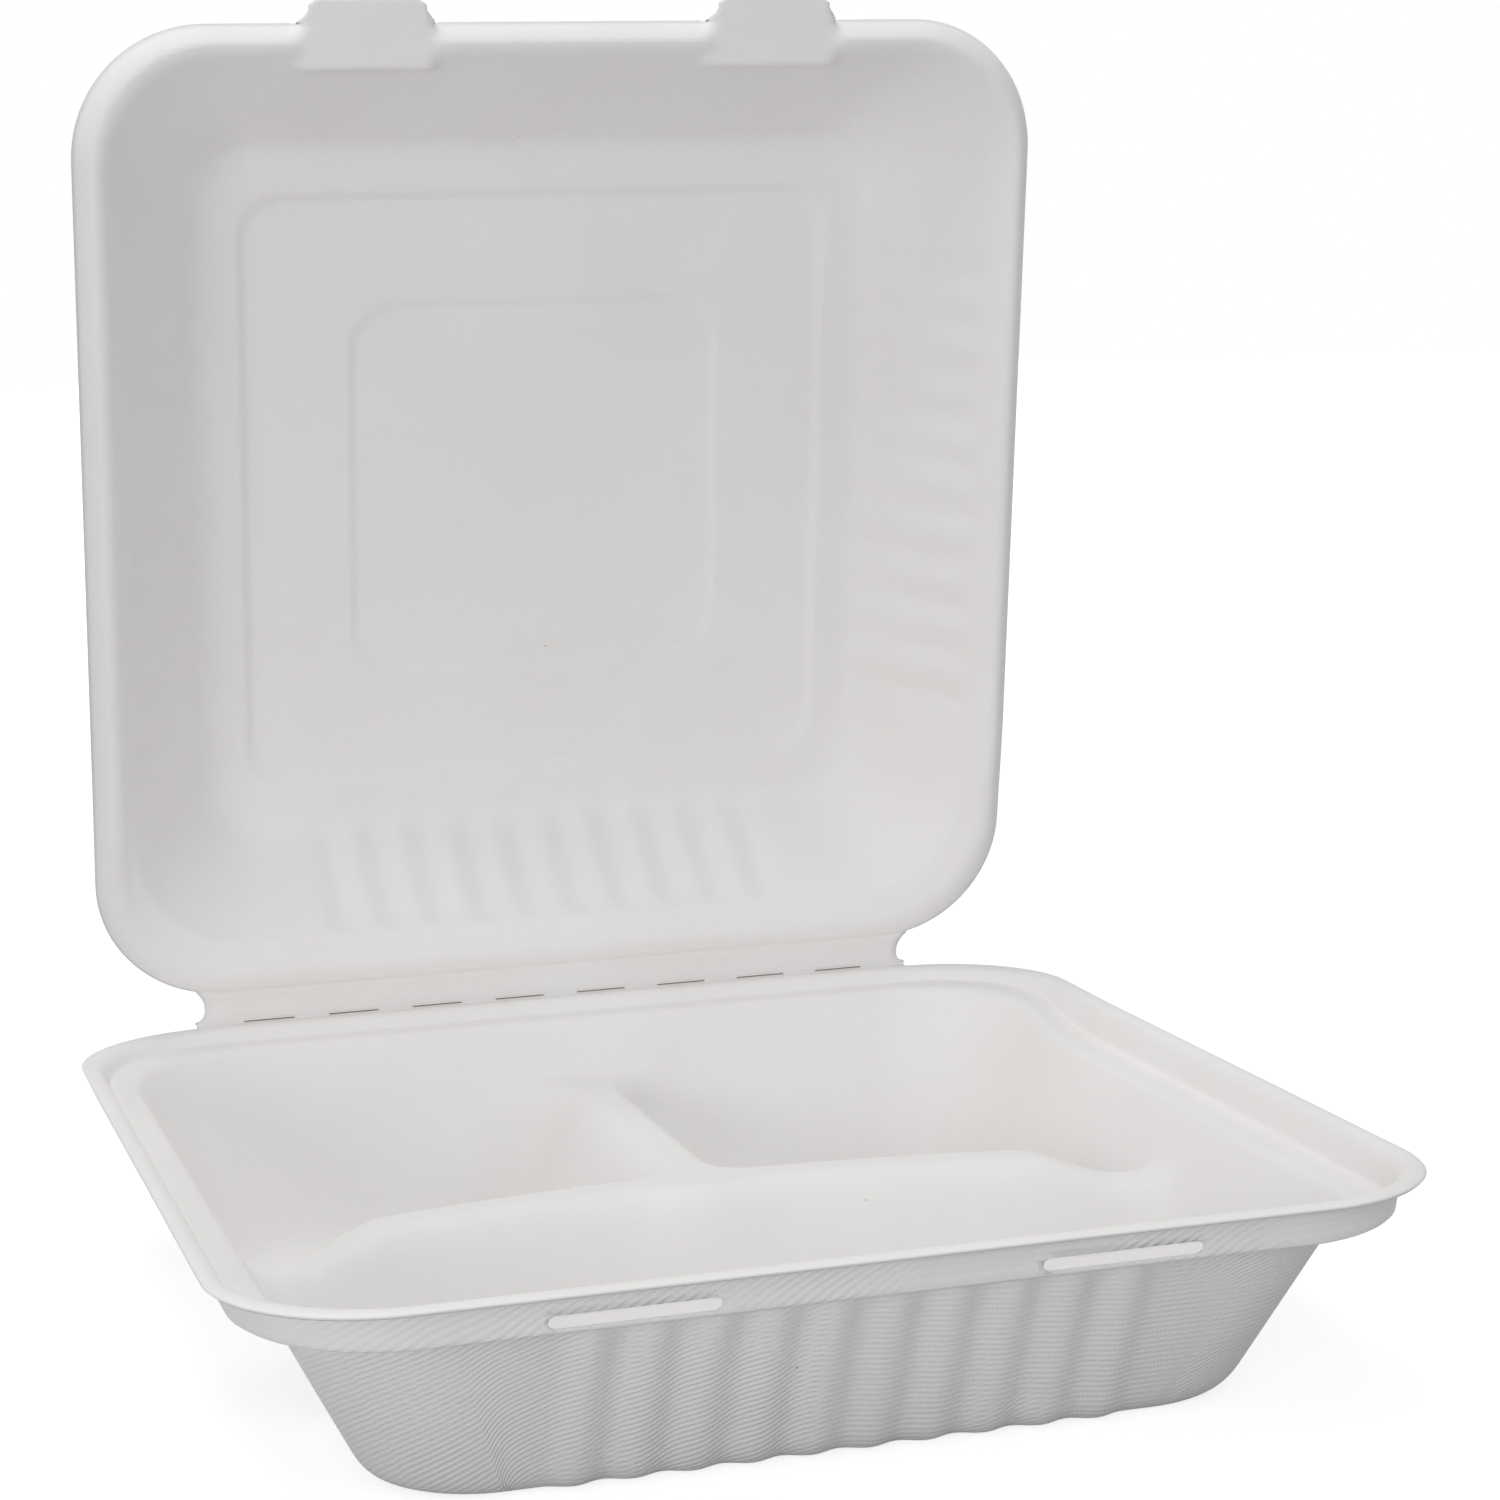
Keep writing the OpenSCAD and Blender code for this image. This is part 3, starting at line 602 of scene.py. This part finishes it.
    bmesh.ops.translate(bm, vec=hingeLine, verts=bm.verts)
    return finishSheet("mouldedLid", bm, [insidePulp, outsidePulp], "lid", "lid")


drawLid()

# The pulp that bends between tray and lid, thinned to a groove at each slit. The points are
# y and z, those pressed form the groove's floor, which carries painted shade so that the slits
# read as dark gaps
fold = {
    "inner": [(117.6, 46.47), (118.05, 46.49), (118.25, 46.59), (118.33, 46.69), (118.34, 46.72),
              (118.36, 46.98), (118.36, 47.01), (118.31, 47.5)],
    "outer": [(119.08, 47.6), (119.12, 47.1), (119.0, 46.5), (118.7, 46.02), (118.3, 45.76),
              (117.6, 45.73)],
    "pressed": (4, 5), "grooveFloor": 118.92, "grooveRamp": 0.15, "pastStrip": 2,
}


def drawFold():
    bm = bmesh.new()
    inner, outer = fold["inner"], fold["outer"]
    ring = bmesh.ops.create_circle(bm, segments=len(inner) + len(outer), radius=1)["verts"]
    halfSlit = lid["slitLength"] / 2
    ends = [-lid["stripHalf"] - fold["pastStrip"]]
    grooved = [False]
    for k in range(lid["slitCount"]):
        middle = (k - (lid["slitCount"] - 1) / 2) * lid["slitPitch"]
        for side in (-1, 1):
            thinFrom = middle + side * (halfSlit - fold["grooveRamp"])
            pair = [(middle + side * halfSlit, False), (thinFrom, True)]
            for x, thin in (pair if side < 0 else pair[::-1]):
                ends.append(x)
                grooved.append(thin)
    ends.append(lid["stripHalf"] + fold["pastStrip"])
    grooved.append(False)

    def place(verts, x, thin):
        full = inner + outer
        for k, vert in enumerate(verts):
            y, z = full[k]
            if thin and k in fold["pressed"]:
                y = fold["grooveFloor"]
            vert.co = (x, y, z)

    place(ring, ends[0], False)
    loop = [edge for edge in bm.edges]
    order = list(ring)
    for x, thin in zip(ends[1:], grooved[1:]):
        grown = bmesh.ops.extrude_edge_only(bm, edges=loop)["geom"]
        fresh = {item for item in grown if isinstance(item, bmesh.types.BMVert)}
        loop = [item for item in grown if isinstance(item, bmesh.types.BMEdge)]
        order = [next(other for other in (edge.other_vert(vert) for edge in vert.link_edges)
                      if other in fresh) for vert in order]
        place(order, x, thin)
    bmesh.ops.holes_fill(bm, edges=bm.edges, sides=0)
    bmesh.ops.recalc_face_normals(bm, faces=bm.faces)
    bm.loops.layers.uv.new("imprint")
    for face in bm.faces:
        # the groove's floor gets the painted slit shade
        if all(abs(vert.co.y - fold["grooveFloor"]) < 0.01 for vert in face.verts):
            face.material_index = 1
    bmesh.ops.scale(bm, vec=(millimetre,) * 3, verts=bm.verts)
    mesh = bpy.data.meshes.new("foldBend")
    bm.to_mesh(mesh)
    bm.free()
    mesh.materials.append(insidePulp)
    mesh.materials.append(slitShadePulp)
    piece = bpy.data.objects.new("foldBend", mesh)
    bpy.context.scene.collection.objects.link(piece)
    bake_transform(piece)
    print("foldBend drawn")


drawFold()

# Camera at the photograph's place
view = {
    "place": (-0.19847, -0.68524, 0.22225), "azimuth": 17.110, "down": 8.114, "roll": -1.494,
    "lens": 84.617,
}
cameraData = bpy.data.cameras.new("camera")
cameraData.lens, cameraData.sensor_width, cameraData.clip_start = view["lens"], 36, 0.01
camera = bpy.data.objects.new("camera", cameraData)
cameraTurn = Matrix.Rotation(math.radians(-view["azimuth"]), 4, "Z")
cameraTurn = cameraTurn @ Matrix.Rotation(math.radians(90 - view["down"]), 4, "X")
cameraRoll = Matrix.Rotation(math.radians(view["roll"]), 4, "Z")
camera.matrix_world = Matrix.Translation(view["place"]) @ cameraTurn @ cameraRoll
bpy.context.scene.collection.objects.link(camera)
bpy.context.scene.camera = camera

studio = {
    "ambient": 0.43, "key": 7.6, "front": 6.9, "fill": 2.0, "floor": 0.5,
    "floorGlow": 0.76, "glowNear": 0.7, "glowFar": 2.2, "floorRadius": 6,
}


def lamp(name, place, target, size, power, colour):
    data = bpy.data.lights.new(name, "AREA")
    data.shape, data.size, data.energy, data.color = "DISK", size, power, colour
    light = bpy.data.objects.new(name, data)
    light.location = place
    light.rotation_euler = (Vector(target) - Vector(place)).to_track_quat("-Z", "Y").to_euler()
    bpy.context.scene.collection.objects.link(light)


lamp("keyLight", (-0.28, -0.12, 1.5), (0, 0.05, 0.08), 0.9, studio["key"], (1, 0.995, 0.985))
lamp("frontLight", (-1.0, -1.15, 0.2), (0, 0.1, 0.12), 0.7, studio["front"], (1, 1, 1))
lamp("fillLight", (0.9, -1.1, 0.7), (0, 0.05, 0.08), 1.0, studio["fill"], (0.97, 0.985, 1))


def seenBy(tree, rayKinds):  # 1 for a ray of any of these kinds
    rays = tree.nodes.new("ShaderNodeLightPath")
    seen = Flow(tree, rays.outputs[rayKinds[0]])
    for kind in rayKinds[1:]:
        seen = seen.math("MAXIMUM", Flow(tree, rays.outputs[kind]))
    return seen


world = bpy.data.worlds.new("studio")
bpy.context.scene.world = world
world.use_nodes = True
tree = world.node_tree
background = tree.nodes["Background"]
seen = seenBy(tree, ("Is Camera Ray", "Is Glossy Ray", "Is Transmission Ray"))
strength = seen * (1 - studio["ambient"]) + studio["ambient"]
background.inputs["Color"].default_value = (1, 1, 1, 1)
tree.links.new(strength.socket, background.inputs["Strength"])

floorMaterial = bpy.data.materials.new("paleFloor")
floorMaterial.use_nodes = True
tree = floorMaterial.node_tree
shader = tree.nodes["Principled BSDF"]
shader.inputs["Base Color"].default_value = (studio["floor"],) * 3 + (1,)
shader.inputs["Roughness"].default_value = 0.9
shader.inputs["Specular IOR Level"].default_value = 0
seen = seenBy(tree, ("Is Camera Ray", "Is Glossy Ray"))
shader.inputs["Emission Color"].default_value = (1, 1, 1, 1)
place = node(tree, "ShaderNodeTexCoord", output="Object")
far = node(tree, "ShaderNodeVectorMath", {"operation": "LENGTH"}, {0: place}, "Value")
# the glow rises to full with distance, so that no horizon shows and the near shadow stays
glow = node(tree, "ShaderNodeMapRange", {}, {
    "Value": far, "From Min": studio["glowNear"], "From Max": studio["glowFar"],
    "To Min": studio["floorGlow"], "To Max": 1,
})
tree.links.new((seen * glow).socket, shader.inputs["Emission Strength"])
bm = bmesh.new()
bmesh.ops.create_circle(bm, cap_ends=True, radius=studio["floorRadius"], segments=64)
mesh = bpy.data.meshes.new("floor")
bm.to_mesh(mesh)
bm.free()
mesh.materials.append(floorMaterial)
floor = bpy.data.objects.new("floor", mesh)
bpy.context.scene.collection.objects.link(floor)
bpy.context.scene.view_settings.view_transform = "Standard"
print("camera, lamps and floor placed")
